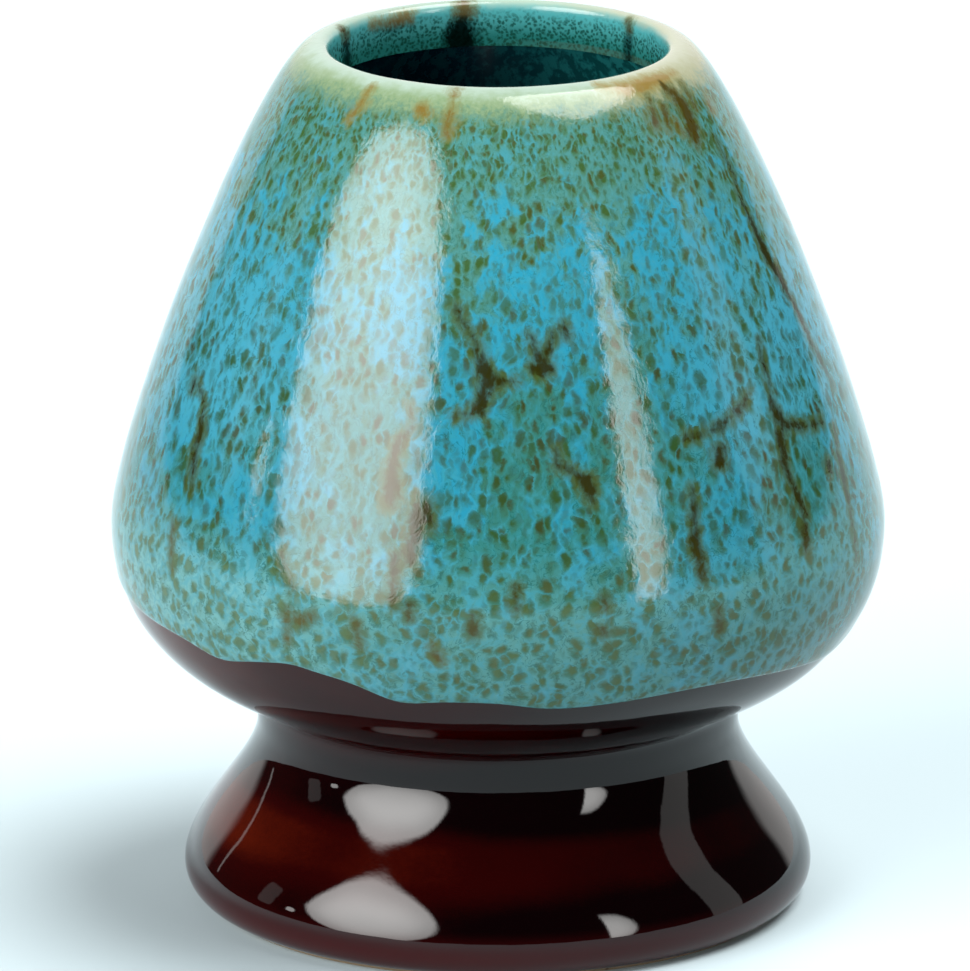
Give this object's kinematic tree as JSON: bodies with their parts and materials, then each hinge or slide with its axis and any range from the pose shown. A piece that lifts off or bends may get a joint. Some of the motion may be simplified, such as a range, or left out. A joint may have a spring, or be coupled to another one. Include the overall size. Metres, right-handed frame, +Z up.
{
  "type": "tea whisk holder",
  "caption": "Glazed stoneware bell with an open mouth on a flared, hollow pedestal foot, for drying a bamboo tea whisk in shape.",
  "frame": {"origin": "centre of the foot ring on the surface that it stands on", "axes": "+Z up along the axis of turning, out of the mouth; the pictured side faces -Y"},
  "size_m": [0.065, 0.065, 0.0736],
  "materials": {
    "stoneware": "bare fired stoneware, matte and slightly sandy",
    "turquoise_glaze": "glossy reactive glaze, turquoise mottled with olive and rust, pale at the lip",
    "brown_glaze": "glossy dark red-brown glaze",
    "chamber_glaze": "glossy dark glaze with a blue-green cast"
  },
  "bodies": {
    "root": {"bell_body": "stoneware", "pedestal_foot": "stoneware", "turquoise_glaze": "turquoise_glaze", "brown_glaze": "brown_glaze", "chamber_glaze": "chamber_glaze", "recess_glaze": "brown_glaze"}
  },
  "joints": []
}
